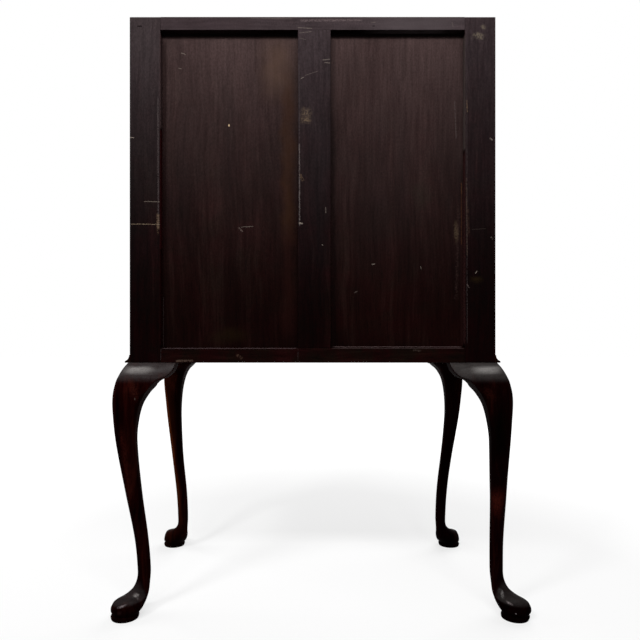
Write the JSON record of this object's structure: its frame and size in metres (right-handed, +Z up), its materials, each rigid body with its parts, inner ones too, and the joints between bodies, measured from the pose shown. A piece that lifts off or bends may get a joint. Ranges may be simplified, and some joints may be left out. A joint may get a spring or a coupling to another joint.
{
  "type": "secretaire",
  "caption": "Dark wood fall-front secretaire with long drawers and a fitted gallery, a framed and panelled back, and cabriole legs with pad feet.",
  "frame": {"origin": "on the floor, midway between the outermost edges of the feet; the middle of the carcass is at x = +17 mm, because one rear foot splays out", "axes": "+Z up; -Y towards the fall front and the drawers, +Y towards the panelled back; +X to the right as seen from the front"},
  "size_m": [0.865, 0.4995, 1.243],
  "materials": {
    "mahogany_polished": "aged dark mahogany, worn wax polish",
    "mahogany_legs": "aged dark mahogany, satin polish",
    "back_frame_wood": "dark stained mahogany, dull and scratched",
    "back_panel_wood": "dark stained thin mahogany, dull",
    "gallery_wood": "mahogany, satin polish",
    "drawer_wood": "plain oak, bare",
    "writing_leather": "aged brown hide, blind tooled border",
    "brass": "aged, slightly dull",
    "key_steel": "worn steel"
  },
  "bodies": {
    "carcass": {"top_board": "mahogany_polished", "left_side": "mahogany_polished", "right_side": "mahogany_polished", "bottom_board": "mahogany_polished", "desk_board": "mahogany_polished", "drawer_rails": "mahogany_polished", "base_front_moulding": "mahogany_polished", "base_side_mouldings": "mahogany_polished", "leg_front_left": "mahogany_legs", "leg_front_right": "mahogany_legs", "leg_rear_left": "mahogany_legs", "leg_rear_right": "mahogany_legs", "brackets_front_left": "mahogany_legs", "brackets_front_right": "mahogany_legs", "brackets_rear_left": "mahogany_legs", "brackets_rear_right": "mahogany_legs", "back_top_rail": "back_frame_wood", "back_bottom_rail": "back_frame_wood", "back_left_stile": "back_frame_wood", "back_right_stile": "back_frame_wood", "back_muntin": "back_frame_wood", "back_left_panel": "back_panel_wood", "back_right_panel": "back_panel_wood", "gallery_ends": "gallery_wood", "gallery_shelf": "gallery_wood", "gallery_top": "gallery_wood", "gallery_dividers": "gallery_wood", "gallery_valances": "gallery_wood", "drawer_runners": "drawer_wood", "leg_dowels": "drawer_wood", "stay_guides": "brass", "side_pivots": "brass", "lock_strike": "brass"},
    "fall": {"fall_panel": "mahogany_polished", "fall_clamps": "mahogany_polished", "writing_leather": "writing_leather", "quadrant_stays": "brass", "fall_pivot_plates": "brass", "fall_lock": "brass", "fall_escutcheon": "brass"},
    "key": {"key": "key_steel"},
    "bolt": {"lock_bolt": "brass"},
    "small_left_drawer": {"small_left_front": "gallery_wood", "small_left_box": "drawer_wood", "small_left_knob": "brass"},
    "small_right_drawer": {"small_right_front": "gallery_wood", "small_right_box": "drawer_wood", "small_right_knob": "brass"},
    "upper_drawer": {"upper_drawer_front": "mahogany_polished", "upper_drawer_box": "drawer_wood", "upper_drawer_bottom": "drawer_wood", "upper_handle_plates": "brass"},
    "upper_bail_left": {"upper_bail_left": "brass"},
    "upper_bail_right": {"upper_bail_right": "brass"},
    "lower_drawer": {"lower_drawer_front": "mahogany_polished", "lower_drawer_box": "drawer_wood", "lower_drawer_bottom": "drawer_wood", "lower_handle_plates": "brass"},
    "lower_bail_left": {"lower_bail_left": "brass"},
    "lower_bail_right": {"lower_bail_right": "brass"}
  },
  "joints": [
    {"name": "fall_hinge", "type": "hinge", "parent": "carcass", "child": "fall", "pos_m": [0.017, -0.199, 0.754], "axis": [1, 0, 0], "range_deg": [0, 90]},
    {"name": "key_turn", "type": "hinge", "parent": "fall", "child": "key", "pos_m": [0.017, -0.21, 1.199], "axis": [0, 1, 0], "range_deg": [0, 90]},
    {"name": "bolt_slide", "type": "slide", "parent": "fall", "child": "bolt", "axis": [0, 0, 1], "range_m": [0, 0.007]},
    {"name": "small_left_drawer_slide", "type": "slide", "parent": "carcass", "child": "small_left_drawer", "axis": [0, -1, 0], "range_m": [0, 0.13]},
    {"name": "small_right_drawer_slide", "type": "slide", "parent": "carcass", "child": "small_right_drawer", "axis": [0, -1, 0], "range_m": [0, 0.13]},
    {"name": "upper_drawer_slide", "type": "slide", "parent": "carcass", "child": "upper_drawer", "axis": [0, -1, 0], "range_m": [0, 0.3]},
    {"name": "upper_bail_left_swing", "type": "hinge", "parent": "upper_drawer", "child": "upper_bail_left", "pos_m": [-0.193, -0.223, 0.69802], "axis": [-1, 0, 0], "range_deg": [0, 90]},
    {"name": "upper_bail_right_swing", "type": "hinge", "parent": "upper_drawer", "child": "upper_bail_right", "pos_m": [0.227, -0.223, 0.69802], "axis": [-1, 0, 0], "range_deg": [0, 90]},
    {"name": "lower_drawer_slide", "type": "slide", "parent": "carcass", "child": "lower_drawer", "axis": [0, -1, 0], "range_m": [0, 0.3]},
    {"name": "lower_bail_left_swing", "type": "hinge", "parent": "lower_drawer", "child": "lower_bail_left", "pos_m": [-0.193, -0.223, 0.59927], "axis": [-1, 0, 0], "range_deg": [0, 90]},
    {"name": "lower_bail_right_swing", "type": "hinge", "parent": "lower_drawer", "child": "lower_bail_right", "pos_m": [0.227, -0.223, 0.59927], "axis": [-1, 0, 0], "range_deg": [0, 90]}
  ],
  "couplings": [
    {"joint": "bolt_slide", "follows": "key_turn", "m_per_rad": 0.004456}
  ]
}
